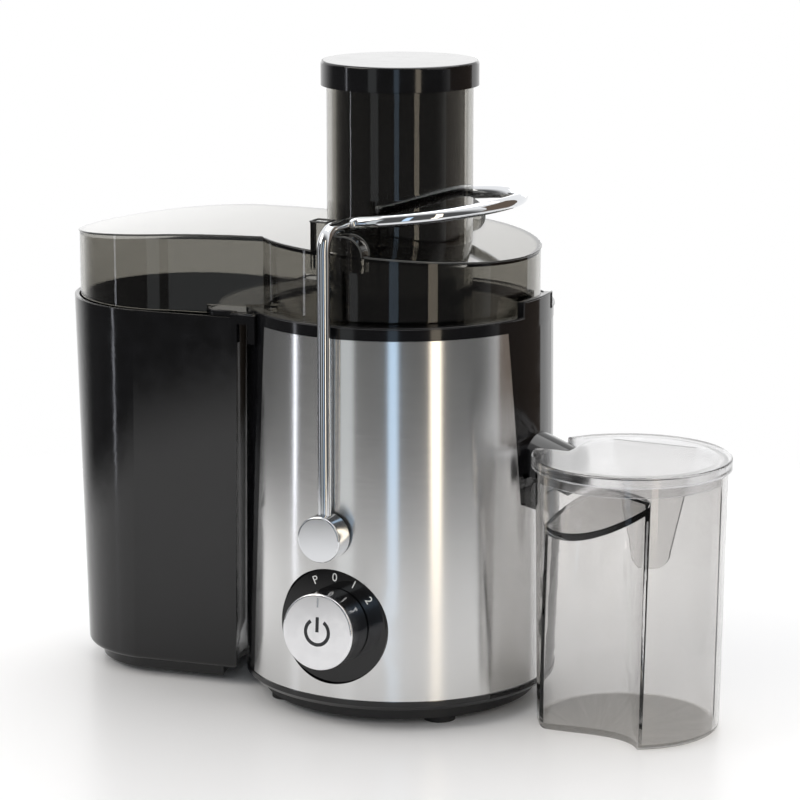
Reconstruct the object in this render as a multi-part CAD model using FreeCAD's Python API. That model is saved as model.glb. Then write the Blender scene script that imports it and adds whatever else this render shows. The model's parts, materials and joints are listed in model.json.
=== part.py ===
import FreeCAD, Part
import math
import os

# Centrifugal juicer: motor housing in the middle, pulp bin at its left, juice cup at its right
# +X points to the cup, -Y to the dial, +Z up, lengths in millimetres, angles in degrees
# Everything is drawn about the motor axis, and the whole part is centred on its own box at the end

V = FreeCAD.Vector

# Clearances: fixed seats, shafts in bores, pieces that move past each other, and lids on rims
seat_gap = 0.05
running_gap = 0.05
move_gap = 0.5
rest_gap = 0.3

# Cutting tools run this far past what they cut, and the far ones past the whole part
cut_over = 1.0
far = 400.0

# Motor housing, a slightly tapered round shell with a proud band at its foot and a deck inside
housing_bottom = 9.7
housing_top = 186.6
housing_low_radius = 75.2
housing_top_radius = 73.8
housing_wall = 2.6
band_top = 14.3
band_proud = 0.5
band_edge = 2.2
deck_thickness = 3.0
deck_bore = 9.0

# Brushed steel wrap around the front, its edges given as angles to the right of the front
wrap_sheet = 0.6
wrap_left_top = -34.0
wrap_left_low = -44.0
wrap_right_top = 69.0
wrap_right_mid = 76.0
wrap_right_low = 92.0
wrap_step_drop = 12.0
wrap_step_height = 8.0

# Base cover, feet and base screws
cover_plate = 2.5
cover_ring_radius = 66.5
cover_ring_inner = 50.0
foot_radius = 7.5
foot_circle = 58.0
foot_height = 3.2
foot_inset = 1.0
post_count = 4
post_first_angle = 22.5
post_circle = 62.0
post_radius = 4.0
post_top = 26.0
post_rib = 3.0
screw_shank = 1.6
screw_head = 3.2
screw_head_height = 3.0
screw_sink = 2.0
screw_head_room = 0.2
screw_tip_room = 4.0
vent_count = 10
vent_inner = 16.0
vent_outer = 44.0
vent_width = 4.0

# Motor, stacked upwards from the lower bearing bracket
lower_bracket_top = 40.0
lower_bracket_radius = 37.0
lower_bracket_plate = 5.0
upper_bracket_radius = 46.0
upper_bracket_plate = 5.0
bracket_boss_radius = 14.0
bracket_floor = 2.5
bracket_shaft_room = 1.0
bracket_screw_circle = 40.0
bracket_post = 7.0
bearing_radius = 11.0
bearing_height = 7.0
shaft_radius = 4.0
shaft_end = 2.0
stator_lift = 16.0
stator_height = 32.0
stator_radius = 37.0
stator_yoke = 7.5
pole_half_width = 11.0
end_room = 12.0
air_gap = 0.6
armature_radius = 19.4
armature_slot_count = 12
armature_slot_depth = 6.0
armature_slot_width = 1.6
coil_lift = 0.6
coil_thick = 3.6
coil_side = 4.2
coil_end = 4.4
winding_radius = 16.0
winding_inner = 6.5
winding_height = 5.0
commutator_radius = 9.0
commutator_height = 8.0
commutator_slit_count = 12
commutator_slit_depth = 1.0
commutator_slit_width = 0.6
brush_width = 8.0
brush_height = 6.0
brush_length = 11.0
brush_wall = 2.2
brush_stand_off = 3.0
brush_holder_length = 14.0
tie_bolt_circle = 33.2
tie_bolt_radius = 2.0
tie_bolt_head = 3.6
tie_bolt_head_height = 2.6
fan_radius = 33.0
fan_hub_radius = 8.0
fan_disc = 1.6
fan_height = 10.0
fan_clear = 1.5
blade_count = 9
blade_thick = 1.6

# Drive coupling and shaft seal
coupling_flat = 22.0
coupling_lift = 1.0
coupling_socket = 9.0
coupling_play = 0.1
seal_lip = 2.0

# Juice bowl, seated in the housing, with its chimney, top ring and spout column
bowl_side_gap = 0.6
bowl_wall = 2.4
bowl_floor = 2.5
bowl_lift = 2.5
bowl_foot_radius = 3.0
bowl_foot_circle = 48.0
chimney_radius = 18.0
chimney_wall = 2.5
chimney_height = 10.5
ring_proud = 0.2
ring_height = 5.8
ring_shoulder = 6.4
ledge_width = 2.4
ledge_drop = 2.0
column_half_width = 16.0
column_root = 1.0
tab_height = 7.6
tab_thick = 3.2

# Sloping juice spout with an arched roof
spout_half_width = 13.0
spout_side = 13.0
spout_height = 19.0
spout_wall = 2.0
spout_overhang = 20.0
spout_fall = 9.5
spout_sill = 0.3
spout_root = 8.0

# Pulp lip that hangs over the bin, and the two arched lugs that guide the bin's sides
lip_overhang = 4.0
lip_nose_over = 4.0
lip_half_width = 54.0
lip_thick = 2.4
lip_drop = 1.5
lip_corner = 6.0
gate_clear = 6.0
lug_right = 48.0
lug_left = 60.4
lug_gap = 1.0
lug_thick = 3.0
lug_drop = 11.5
lug_leg_left = 2.8
lug_leg_right = 3.8
lug_tie = 2.0

# Filter basket with grater disc and hub
hub_height = 13.0
hub_top = 4.0
hub_skirt_wall = 2.2
hub_skirt_gap = 0.8
hub_skirt_depth = 5.0
basket_floor_radius = 42.0
basket_rim_gap = 1.7
basket_rim_width = 3.0
basket_rim_height = 2.6
basket_rim_drop = 3.4
basket_wall = 1.0
grater_radius = 38.0
grater_thick = 1.2
tooth_rows = 12
tooth_per_row = 4
tooth_radius = 1.1
tooth_tip = 0.3
tooth_height = 1.6
tooth_inner = 12.0
tooth_pitch = 6.6

# Clear lid with its feed chute, its two ears and the cover over the pulp bin
lid_wall = 2.2
lid_rise = 33.9
crown_radius = 1000.0
crown_x = -50.0
bin_cover_inset = 3.0
bin_cover_neck = 45.5
bin_cover_gap = 0.5
chute_bore = 32.5
chute_wall = 2.5
chute_clear = 8.0
chute_rise = 70.0
ear_left = -12.6
ear_right = 13.8
ear_proud = 1.0
ear_thick = 8.0
ear_depth = 9.0
ear_stop_right = -4.0
ear_stop_rise = 6.0
ear_round = 9.0

# Wire bail that holds the lid down
pivot_height = 93.7
pivot_pin_radius = 4.0
pivot_pin_head = 7.0
pivot_pin_head_thick = 2.0
pivot_cap_radius = 11.0
pivot_cap_gap = 1.6
pivot_cap_depth = 10.6
pivot_cap_face = 2.2
pivot_cap_edge = 1.0
wire_radius = 3.1
wire_foot = 1.5
arm_inset = 3.8
bail_rise = 11.0
bail_bend = 9.0
loop_half_width = 53.0
loop_bend = 6.0
loop_tilt = 6.8

# Pusher
pusher_gap = 2.0
pusher_wall = 2.0
pusher_foot_gap = 4.0
cap_radius = 37.7
cap_height = 11.7
cap_edge = 1.2
cap_plug = 8.0
cap_plug_wall = 2.0

# Speed dial on a flat round bezel, tipped back with the front
dial_height = 48.7
dial_tilt = 3.5
bezel_sink = 3.5
bezel_radius = 27.8
bezel_depth = 10.0
bezel_edge = 0.6
knob_radius = 18.2
knob_depth = 16.2
knob_lift = 0.8
knob_edge = 1.0
spindle_radius = 3.0
spindle_in_knob = 8.0
spindle_in_switch = 9.0
switch_side = 28.0
switch_depth = 13.0

# Mains cord bush at the back
bush_height = 26.0
bush_radius = 5.5
bush_bore = 3.4
bush_flange = 8.0
bush_flange_thick = 2.0
bush_tail = 4.0

# Pulp bin, hollowed to fit the housing
bin_gap = 4.8
bin_reach = 34.0
bin_rim_radius = 58.5
bin_neck_half = 54.5
bin_neck_offset = 54.5
bin_lean = 9.5
bin_foot_radius = 46.5
bin_foot_neck_half = 39.5
bin_foot_neck_offset = 56.0
bin_bottom = 9.0
bin_wall = 2.2
bin_floor = 2.6
bin_edge = 3.0
bin_plinth_inset = 7.0
bin_plinth_bottom = 3.0
bin_pad_radius = 6.0
bin_pad_inset = 1.0
bin_pad_edge = 2.0
bin_pad_spread = 19.0
bin_pad_back = 22.0

# Juice cup, its lid and the froth separator
cup_gap = 3.6
cup_y = -8.0
cup_top_radius = 45.0
cup_foot_radius = 43.2
cup_rise = 7.5
cup_wall = 2.0
cup_floor = 2.6
cup_edge = 3.0
grip_left = -26.5
grip_right = 22.5
grip_foot_left = -37.0
grip_foot_right = 21.0
grip_foot_depth = 25.3
grip_top_depth = 19.0
grip_back_left = -18.0
grip_back_right = 3.0
grip_out = 39.0
grip_top_drop = 9.5
grip_brow_drop = 28.5
grip_brow_slope = 0.7
grip_brow_angle = 240.0
cup_lid_overhang = 1.9
cup_lid_height = 5.2
cup_lid_top = 2.2
cup_lid_plug = 5.0
cup_lid_edge = 0.8
notch_gap = 0.8
separator_half_width = 21.0
separator_tip_radius = 9.0
separator_tip = 69.0
separator_thick = 2.0
separator_y = 28.0


# Radius of the tapered housing at a height
def housing_radius(z):
    share = (z - band_top) / (housing_top - band_top)
    return housing_low_radius + share * (housing_top_radius - housing_low_radius)


# Levels that follow from the sizes above, from the motor up to the deck
lower_bracket_low = lower_bracket_top - bearing_height - bracket_floor
fan_bottom = lower_bracket_low - fan_clear - fan_height
shaft_bottom = fan_bottom - shaft_end
stator_bottom = lower_bracket_top + stator_lift
stator_top = stator_bottom + stator_height
upper_bracket_low = stator_top + end_room
upper_bracket_top = upper_bracket_low + upper_bracket_plate
deck_low = upper_bracket_top + bracket_post
deck_top = deck_low + deck_thickness
plate_top = housing_bottom + cover_plate
brush_middle = lower_bracket_top + brush_wall + brush_height / 2

# Levels from the deck up to the basket
coupling_low = deck_top + seal_lip + coupling_lift
shaft_top = coupling_low + coupling_socket
bowl_low = deck_top + bowl_lift
bowl_floor_top = bowl_low + bowl_floor
chimney_top = bowl_low + chimney_height
basket_floor = chimney_top + hub_height
coupling_top = basket_floor - hub_top
chute_bottom = basket_floor + chute_clear

# Levels at the top of the housing and above it
ring_top = housing_top + ring_height
ledge = ring_top - ledge_drop
lip_top = ring_top - lip_drop
lip_low = lip_top - lip_thick
bin_rim = lip_low - move_gap
basket_rim_top = ring_top - basket_rim_drop
basket_rim_low = basket_rim_top - basket_rim_height
crown_top = ring_top + lid_rise
chute_top = crown_top + chute_rise
cap_bottom = chute_top + move_gap
bail_height = crown_top + bail_rise
ear_top = bail_height - wire_radius - move_gap
cup_rim = bowl_low + cup_rise

# Radii and reaches that follow from the housing
ring_radius = housing_top_radius + ring_proud
lid_radius = ring_radius - ring_shoulder
ledge_inner = lid_radius - ledge_width
bowl_outer = min(housing_radius(bowl_low), housing_top_radius) - housing_wall - bowl_side_gap
bowl_inner = bowl_outer - bowl_wall
basket_rim_radius = ledge_inner - basket_rim_gap
basket_top_radius = basket_rim_radius - basket_rim_width
chute_radius = chute_bore + chute_wall
pusher_radius = chute_bore - pusher_gap
hub_radius = chimney_radius + hub_skirt_gap + hub_skirt_wall
ear_outer = lid_radius + ear_proud
band_radius = housing_low_radius + band_proud
bin_hollow_radius = max(band_radius, ring_radius) + bin_gap
bin_centre = -bin_hollow_radius - bin_reach
bin_foot_centre = bin_centre - bin_lean
lip_reach = ring_radius + lip_overhang
lip_nose = bin_hollow_radius + bin_wall + lip_nose_over
lug_inner = bin_neck_half + lug_gap
lug_outer = lug_inner + lug_thick
spout_reach = ring_radius + spout_overhang
spout_slope = spout_fall / (spout_reach - bowl_inner)
pivot_cap_inner = housing_radius(pivot_height) + pivot_cap_gap
pivot_cap_outer = pivot_cap_inner + pivot_cap_depth
arm_reach = pivot_cap_inner + arm_inset
dial_reach = housing_radius(dial_height) - bezel_sink
cup_x = band_radius + cup_gap + cup_top_radius
cup_lid_radius = cup_top_radius + cup_lid_overhang


# Shape helpers
def disc(radius, low, high, x=0.0, y=0.0):
    return Part.makeCylinder(radius, high - low, V(x, y, low))


def ring(outer, inner, low, high, x=0.0, y=0.0):
    return disc(outer, low, high, x, y).cut(disc(inner, low - cut_over, high + cut_over, x, y))


def block(x0, x1, y0, y1, z0, z1):
    return Part.makeBox(x1 - x0, y1 - y0, z1 - z0, V(x0, y0, z0))


def slab(x0, x1, half, z0, z1):
    return block(x0, x1, -half, half, z0, z1)


def rod_y(radius, y0, y1, x, z):
    return Part.makeCylinder(radius, y1 - y0, V(x, y0, z), V(0, 1, 0))


def polygon(points):
    return Part.Face(Part.makePolygon(points + points[:1]))


def lathe(points):
    return polygon([V(r, 0, z) for r, z in points]).revolve(V(0, 0, 0), V(0, 0, 1), 360)


def prism_z(points, low, high):
    return polygon([V(x, y, low) for x, y in points]).extrude(V(0, 0, high - low))


def prism_y(points, y0, y1):
    return polygon([V(x, y0, z) for x, z in points]).extrude(V(0, y1 - y0, 0))


def prism_x(points, x0, x1):
    return polygon([V(x0, y, z) for y, z in points]).extrude(V(x1 - x0, 0, 0))


def line(a, b):
    return Part.LineSegment(a, b).toShape()


def arc(a, b, c):
    return Part.Arc(a, b, c).toShape()


def join(shapes):
    return shapes[0].multiFuse(shapes[1:]).removeSplitter()


def across(shape):
    return shape.mirror(V(0, 0, 0), V(0, 1, 0))


def pair_across(shape):
    return Part.makeCompound([shape, across(shape)])


def turned(shape, angle):
    copy = shape.copy()
    copy.rotate(V(0, 0, 0), V(0, 0, 1), angle)
    return copy


def pair_turned(shape):
    return Part.makeCompound([shape, turned(shape, 180)])


def around(shape, count, first=0.0):
    return [turned(shape, first + 360.0 * i / count) for i in range(count)]


def cut_around(body, cutter, count):
    for tool in around(cutter, count):
        body = body.cut(tool)
    return body


# The four corners of a square whose corners lie on a circle
def square_places(circle):
    reach = circle / math.sqrt(2)
    return [(sx * reach, sy * reach) for sx in (-1, 1) for sy in (-1, 1)]


def post_places():
    angles = [math.radians(post_first_angle + 360.0 * i / post_count) for i in range(post_count)]
    return [(post_circle * math.cos(a), post_circle * math.sin(a)) for a in angles]


def edges_at(shape, height, reach=0.01):
    flat = [e for e in shape.Edges if e.BoundBox.ZLength < reach]
    return [e for e in flat if abs(e.BoundBox.ZMin - height) < reach]


def housing_cone(inset, low, high):
    return Part.makeCone(housing_radius(low) - inset, housing_radius(high) - inset, high - low, V(0, 0, low))


def front_x(angle, z):
    return housing_radius(z) * math.sin(math.radians(angle))


def front_y(angle, z):
    return -housing_radius(z) * math.cos(math.radians(angle))


# Dial pieces are drawn along +Z from the bezel face and then turned to face the front
def on_dial(shape):
    placed = shape.copy()
    placed.rotate(V(0, 0, 0), V(1, 0, 0), 90 - dial_tilt)
    placed.translate(V(0, -dial_reach, dial_height))
    return placed


# Steel wrap: the part of the housing's surface between its two slanted edges
def wrap_zone(grow):
    low = band_top - cut_over
    high = housing_top + cut_over
    step_top = deck_top - wrap_step_drop
    step_low = step_top - wrap_step_height
    left_low = front_x(wrap_left_low, band_top) - grow
    left_top = front_x(wrap_left_top, housing_top) - grow
    left = [(left_low, low), (far, low), (far, high), (left_top, high)]
    right_low = front_y(wrap_right_low, step_low) + grow
    right_mid = front_y(wrap_right_mid, step_top) + grow
    right_top = front_y(wrap_right_top, housing_top) + grow
    right = [(-far, low), (right_low, low), (right_low, step_low), (right_mid, step_top)]
    right += [(right_top, high), (-far, high)]
    return prism_y(left, -far, far).common(prism_x(right, -far, far))


def wrap_skin(inset, grow):
    core = housing_cone(inset, band_top - cut_over, housing_top + cut_over)
    return housing_cone(0, band_top, housing_top).cut(core).common(wrap_zone(grow))


def dial_hole():
    return on_dial(disc(bezel_radius + seat_gap, -bezel_depth - switch_depth, knob_lift + knob_depth))


def pivot_hole():
    return rod_y(pivot_pin_radius + seat_gap, -pivot_cap_outer, pivot_cap_outer, 0, pivot_height)


def steel_wrap():
    return wrap_skin(wrap_sheet, 0).cut(dial_hole()).cut(pivot_hole())


# Motor housing
def column_slot():
    return slab(hub_radius, far, column_half_width + seat_gap, deck_top, housing_top + cut_over)


def housing_wall_shell():
    inner = housing_low_radius - housing_wall
    outline = [(inner, housing_bottom), (band_radius - band_edge, housing_bottom)]
    outline += [(band_radius, housing_bottom + band_edge), (band_radius, band_top)]
    outline += [(housing_low_radius, band_top), (housing_top_radius, housing_top)]
    outline += [(housing_top_radius - housing_wall, housing_top), (inner, band_top)]
    return lathe(outline)


def housing_posts():
    wall = housing_radius(post_top) - housing_wall / 2
    rib = slab(post_circle + post_radius / 2, wall, post_rib / 2, plate_top, post_top)
    post = ring(post_radius, screw_shank + seat_gap, plate_top, post_top, post_circle, 0)
    return around(post.fuse(rib), post_count, post_first_angle)


def housing_shell():
    deck = ring(housing_radius(deck_low) - housing_wall / 2, deck_bore, deck_low, deck_top)
    solids = [housing_wall_shell(), deck] + housing_posts()
    for x, y in square_places(bracket_screw_circle):
        solids.append(ring(post_radius, screw_shank + seat_gap, upper_bracket_top, deck_low, x, y))
    body = join(solids).cut(wrap_skin(wrap_sheet + seat_gap, seat_gap))
    body = body.cut(dial_hole()).cut(pivot_hole()).cut(column_slot())
    return body.cut(rod_y(bush_radius + seat_gap, 0, far, 0, bush_height))


# Base cover with its air slots, and what stands and screws on it
def base_cover():
    plate_radius = housing_low_radius - housing_wall - seat_gap
    body = disc(plate_radius, housing_bottom, plate_top)
    body = body.fuse(ring(cover_ring_radius, cover_ring_inner, foot_height, housing_bottom))
    slot = slab(vent_inner, vent_outer, vent_width / 2, foot_height, plate_top + cut_over)
    body = cut_around(body, slot, vent_count)
    for x, y in square_places(foot_circle):
        body = body.cut(disc(foot_radius + seat_gap, 0, foot_height + foot_inset, x, y))
    head_top = foot_height + screw_sink + screw_head_height
    for x, y in post_places():
        body = body.cut(disc(screw_head + screw_head_room, 0, head_top, x, y))
        body = body.cut(disc(screw_shank + seat_gap, 0, plate_top + cut_over, x, y))
    return body.removeSplitter()


def base_feet():
    places = square_places(foot_circle)
    return Part.makeCompound([disc(foot_radius, 0, foot_height + foot_inset, x, y) for x, y in places])


def screw(x, y, head_low, tip):
    head = disc(screw_head, head_low, head_low + screw_head_height, x, y)
    return head.fuse(disc(screw_shank, head_low, tip, x, y)).removeSplitter()


def base_screws():
    low = foot_height + screw_sink
    return Part.makeCompound([screw(x, y, low, post_top - screw_tip_room) for x, y in post_places()])


def cord_bush():
    wall_out = max(housing_radius(bush_height - bush_flange), housing_radius(bush_height + bush_flange))
    seat = wall_out + seat_gap
    end = seat + bush_flange_thick
    body = rod_y(bush_radius, seat - housing_wall - bush_tail, end, 0, bush_height)
    body = body.fuse(rod_y(bush_flange, seat, end, 0, bush_height))
    return body.cut(rod_y(bush_bore, 0, far, 0, bush_height)).removeSplitter()


# Motor, fixed pieces
def bracket(top, plate, radius):
    low = top - bearing_height - bracket_floor
    body = disc(radius, top - plate, top).fuse(disc(bracket_boss_radius, low, top))
    body = body.cut(disc(bearing_radius + seat_gap, top - bearing_height, top + cut_over))
    body = body.cut(disc(shaft_radius + bracket_shaft_room, low - cut_over, top))
    for y in (-tie_bolt_circle, tie_bolt_circle):
        body = body.cut(disc(tie_bolt_radius + seat_gap, low, top + cut_over, 0, y))
    return body.removeSplitter()


def upper_bracket():
    body = bracket(upper_bracket_top, upper_bracket_plate, upper_bracket_radius)
    for x, y in square_places(bracket_screw_circle):
        body = body.cut(disc(screw_shank + seat_gap, 0, upper_bracket_top + cut_over, x, y))
    return body


def bracket_screws():
    low = upper_bracket_low - screw_head_height
    tip = deck_low - cut_over
    return Part.makeCompound([screw(x, y, low, tip) for x, y in square_places(bracket_screw_circle)])


def bearing(top):
    return ring(bearing_radius, shaft_radius + running_gap, top - bearing_height, top)


def stator_core():
    low = stator_bottom - cut_over
    high = stator_top + cut_over
    inner = stator_radius - stator_yoke
    pole = slab(armature_radius - air_gap, inner + cut_over, pole_half_width, stator_bottom, stator_top)
    body = join([ring(stator_radius, inner, stator_bottom, stator_top), pole, turned(pole, 180)])
    body = body.cut(disc(armature_radius + air_gap, low, high))
    for y in (-tie_bolt_circle, tie_bolt_circle):
        body = body.cut(disc(tie_bolt_radius + seat_gap, low, high, 0, y))
    return body


def field_coils():
    near = armature_radius + air_gap + coil_lift
    reach = near + coil_thick
    half = pole_half_width + seat_gap
    low = stator_bottom - seat_gap
    high = stator_top + seat_gap
    coil = slab(near, reach, half + coil_side, low - coil_end, high + coil_end)
    return pair_turned(coil.cut(slab(near - cut_over, reach + cut_over, half, low, high)))


def tie_bolt():
    low = lower_bracket_top - lower_bracket_plate
    shank = disc(tie_bolt_radius, low - tie_bolt_head_height, upper_bracket_top, 0, tie_bolt_circle)
    nut_top = upper_bracket_top + tie_bolt_head_height
    nut = disc(tie_bolt_head, upper_bracket_top, nut_top, 0, tie_bolt_circle)
    head = disc(tie_bolt_head, low - tie_bolt_head_height, low, 0, tie_bolt_circle)
    return join([shank, nut, head])


def stator_sleeves():
    sleeves = []
    for low, high in ((lower_bracket_top, stator_bottom), (stator_top, upper_bracket_low)):
        sleeve = ring(tie_bolt_head, tie_bolt_radius + seat_gap, low, high, 0, tie_bolt_circle)
        sleeves += [sleeve, turned(sleeve, 180)]
    return Part.makeCompound(sleeves)


def brush_holders():
    near = commutator_radius + move_gap + brush_stand_off
    end = near + brush_holder_length
    half = brush_width / 2 + seat_gap
    low = brush_middle - brush_height / 2 - seat_gap
    high = brush_middle + brush_height / 2 + seat_gap
    holder = slab(near, end, half + brush_wall, lower_bracket_top, high + brush_wall)
    return pair_turned(holder.cut(slab(near - cut_over, end - brush_wall, half, low, high)))


def carbon_brushes():
    near = commutator_radius + move_gap
    low = brush_middle - brush_height / 2
    return pair_turned(slab(near, near + brush_length, brush_width / 2, low, low + brush_height))


def shaft_seal():
    inner = shaft_radius + running_gap
    body = ring(deck_bore - seat_gap, inner, deck_low, deck_top)
    lip = ring(shaft_radius + seal_lip, inner, deck_top, deck_top + seal_lip)
    return body.fuse(lip).removeSplitter()


# Motor, turning pieces
def motor_shaft():
    return disc(shaft_radius, shaft_bottom, shaft_top)


def armature_core():
    body = ring(armature_radius, shaft_radius + seat_gap, stator_bottom, stator_top)
    near = armature_radius - armature_slot_depth
    low = stator_bottom - cut_over
    slot = slab(near, armature_radius + cut_over, armature_slot_width / 2, low, stator_top + cut_over)
    return cut_around(body, slot, armature_slot_count)


def armature_winding():
    upper = ring(winding_radius, winding_inner, stator_top, stator_top + winding_height)
    lower = ring(winding_radius, winding_inner, stator_bottom - winding_height, stator_bottom)
    return Part.makeCompound([upper, lower])


def commutator():
    low = brush_middle - commutator_height / 2
    high = low + commutator_height
    body = ring(commutator_radius, shaft_radius + seat_gap, low, high)
    near = commutator_radius - commutator_slit_depth
    half = commutator_slit_width / 2
    slit = slab(near, commutator_radius + cut_over, half, low - cut_over, high + cut_over)
    return cut_around(body, slit, commutator_slit_count)


def cooling_fan():
    high = fan_bottom + fan_height
    plate = disc(fan_radius, fan_bottom, fan_bottom + fan_disc)
    hub = disc(fan_hub_radius, fan_bottom, high)
    blade = slab(shaft_radius, fan_radius, blade_thick / 2, fan_bottom, high)
    body = join([plate, hub] + around(blade, blade_count)).common(disc(fan_radius, fan_bottom, high))
    return body.cut(disc(shaft_radius + seat_gap, fan_bottom - cut_over, high + cut_over))


def hexagon(flat, low, high):
    corner = flat / math.sqrt(3)
    angles = [math.radians(60 * i) for i in range(6)]
    return prism_z([(corner * math.cos(a), corner * math.sin(a)) for a in angles], low, high)


def drive_coupling():
    socket = disc(shaft_radius + seat_gap, coupling_low - cut_over, shaft_top + seat_gap)
    return hexagon(coupling_flat, coupling_low, coupling_top).cut(socket)


# Filter basket
def basket_hub():
    low = chimney_top - hub_skirt_depth
    body = disc(hub_radius, low, basket_floor)
    body = body.cut(disc(hub_radius - hub_skirt_wall, low - cut_over, chimney_top + move_gap))
    return body.cut(hexagon(coupling_flat + 2 * coupling_play, low, coupling_top + seat_gap))


def filter_basket():
    floor_top = basket_floor + basket_wall
    outline = [(0, basket_floor), (basket_floor_radius, basket_floor)]
    outline += [(basket_top_radius, basket_rim_low), (basket_rim_radius, basket_rim_low)]
    outline += [(basket_rim_radius, basket_rim_top), (basket_top_radius - basket_wall, basket_rim_top)]
    outline += [(basket_floor_radius - basket_wall, floor_top), (0, floor_top)]
    return lathe(outline)


def grater_disc():
    low = basket_floor + basket_wall
    top = low + grater_thick
    solids = [disc(grater_radius, low, top)]
    for row in range(tooth_rows):
        for i in range(tooth_per_row):
            reach = tooth_inner + tooth_pitch * (i + 0.5 * (row % 2))
            if reach + tooth_radius < grater_radius:
                tooth = Part.makeCone(tooth_radius, tooth_tip, tooth_height, V(reach, 0, top))
                solids.append(turned(tooth, 360.0 * row / tooth_rows))
    return join(solids)


# Juice spout, a section with an arched roof swept down a slope
def spout_low(x):
    return bowl_floor_top + spout_sill - spout_wall - spout_slope * (x - bowl_inner)


def spout_duct(inset, start, end):
    low = spout_low(start)
    half = spout_half_width - inset
    a = V(start, -half, low + inset)
    b = V(start, half, low + inset)
    c = V(start, half, low + spout_side)
    roof = V(start, 0, low + spout_height - inset)
    d = V(start, -half, low + spout_side)
    face = Part.Face(Part.Wire([line(a, b), line(b, c), arc(c, roof, d), line(d, a)]))
    return face.extrude(V(end - start, 0, -spout_slope * (end - start)))


# Pulp lip: a flat tongue with rounded corners and a bowed nose over the bin's near wall
def pulp_lip():
    tongue = slab(-lip_reach, 0, lip_half_width, lip_low, lip_top)
    ends = [e for e in tongue.Edges if e.BoundBox.XMax < -lip_reach + 1 and e.BoundBox.YLength < 1]
    tongue = tongue.makeFillet(lip_corner, ends)
    nose_half = math.sqrt(lip_nose ** 2 - lip_reach ** 2)
    nose = disc(lip_nose, lip_low, lip_top).common(slab(-lip_nose, 0, nose_half, lip_low, lip_top))
    lip = tongue.fuse(nose).cut(disc(ledge_inner, lip_low - cut_over, lip_top + cut_over))
    return lip.cut(disc(lid_radius + seat_gap, ledge, lip_top + cut_over))


def pulp_gate(low, high):
    half = bin_cover_neck - lid_wall
    return slab(-lip_nose - cut_over, -chute_radius - gate_clear, half, low, high)


def lug():
    low = lip_low - lug_drop
    body = block(-lug_left, -lug_right, -lug_outer, -lug_inner, low, lip_top)
    arch_left = -lug_left + lug_leg_left
    arch_right = -lug_right - lug_leg_right
    arch_top = lip_low - lip_thick
    arch = block(arch_left, arch_right, -lug_outer - cut_over, -lug_inner + cut_over, low - cut_over, arch_top)
    tie = block(-lug_left, -lug_right, -lug_outer, -lip_half_width + lug_tie, lip_low, lip_top)
    clear = housing_cone(-seat_gap, low - cut_over, housing_top)
    return body.cut(arch).fuse(tie).cut(clear)


def bowl_column():
    outer = housing_cone(seat_gap, bowl_low, housing_top)
    core = disc(bowl_inner + column_root, bowl_low - cut_over, housing_top + cut_over)
    return outer.cut(core).common(slab(0, far, column_half_width, bowl_low, housing_top))


def bowl_tab():
    high = ring_top + tab_height
    tab = ring(ring_radius, ring_radius - tab_thick, ring_top, high)
    return tab.common(slab(0, far, column_half_width, ring_top, high))


def juice_bowl():
    chimney_bore = chimney_radius - chimney_wall
    wall = ring(bowl_outer, bowl_inner, bowl_low, housing_top)
    floor = ring(bowl_outer, chimney_bore, bowl_low, bowl_floor_top)
    chimney = ring(chimney_radius, chimney_bore, bowl_low, chimney_top)
    top_ring = ring(ring_radius, ledge_inner, housing_top, ring_top)
    top_ring = top_ring.cut(disc(lid_radius + seat_gap, ledge, ring_top + cut_over))
    feet = [disc(bowl_foot_radius, deck_top, bowl_low, x, y) for x, y in square_places(bowl_foot_circle)]
    duct = spout_duct(0, bowl_inner - spout_root, spout_reach)
    duct = duct.cut(disc(bowl_inner + bowl_wall / 2, bowl_low - cut_over, ring_top))
    parts = [wall, floor, chimney, top_ring, bowl_column(), bowl_tab(), duct]
    body = join(parts + [pulp_lip(), lug(), across(lug())] + feet)
    bore = spout_duct(spout_wall, bowl_inner - column_root, spout_reach + cut_over)
    return body.cut(bore).cut(pulp_gate(lip_top, ring_top + cut_over)).removeSplitter()


# Clear lid
def bin_cover_plan(inset, low, high):
    radius = bin_rim_radius - bin_cover_inset - inset
    neck = bin_cover_neck - inset
    neck_x = -math.sqrt(lid_radius ** 2 - bin_cover_neck ** 2)
    middle = neck + neck_x * (neck - radius) / (bin_centre - neck_x)
    sides = [(bin_centre, -radius), (0, -middle), (0, middle), (bin_centre, radius)]
    return disc(radius, low, high, bin_centre, 0).fuse(prism_z(sides, low, high))


def under_crown(shape, inset):
    return shape.common(rod_y(crown_radius - inset, -far, far, crown_x, crown_top - crown_radius))


def lid_form(inset, skirt_low, cover_low):
    high = crown_top + lid_wall
    cover = bin_cover_plan(inset, ring_top, high)
    drop = bin_cover_plan(inset, cover_low, ring_top + cut_over)
    drop = drop.common(slab(-far, -lip_reach - move_gap, far, 0, high))
    form = join([disc(lid_radius - inset, skirt_low, high), cover, drop])
    return under_crown(form, inset)


def lid_ear():
    inner = -ear_outer + ear_thick
    root = crown_top - ear_depth
    sweep = rod_y(ear_top - pivot_height, -ear_outer, inner, 0, pivot_height)
    body = block(ear_left, ear_right, -ear_outer, inner, root, ear_top + cut_over).common(sweep)
    free_end = [e for e in body.Edges if e.BoundBox.XMin > ear_right - seat_gap and e.BoundBox.ZMin > crown_top]
    body = body.makeFillet(ear_round, free_end)
    return body.fuse(block(ear_left, ear_stop_right, -ear_outer, inner, root, ear_top + ear_stop_rise))


def lid():
    cover_low = bin_rim + bin_cover_gap
    hollow = lid_form(lid_wall, ledge - cut_over, cover_low - cut_over)
    shell = lid_form(0, ledge, cover_low).cut(hollow).cut(pulp_gate(ledge - cut_over, ring_top + cut_over))
    body = join([shell, disc(chute_radius, chute_bottom, chute_top), lid_ear(), across(lid_ear())])
    return body.cut(disc(chute_bore, chute_bottom - cut_over, chute_top + cut_over)).removeSplitter()


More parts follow.
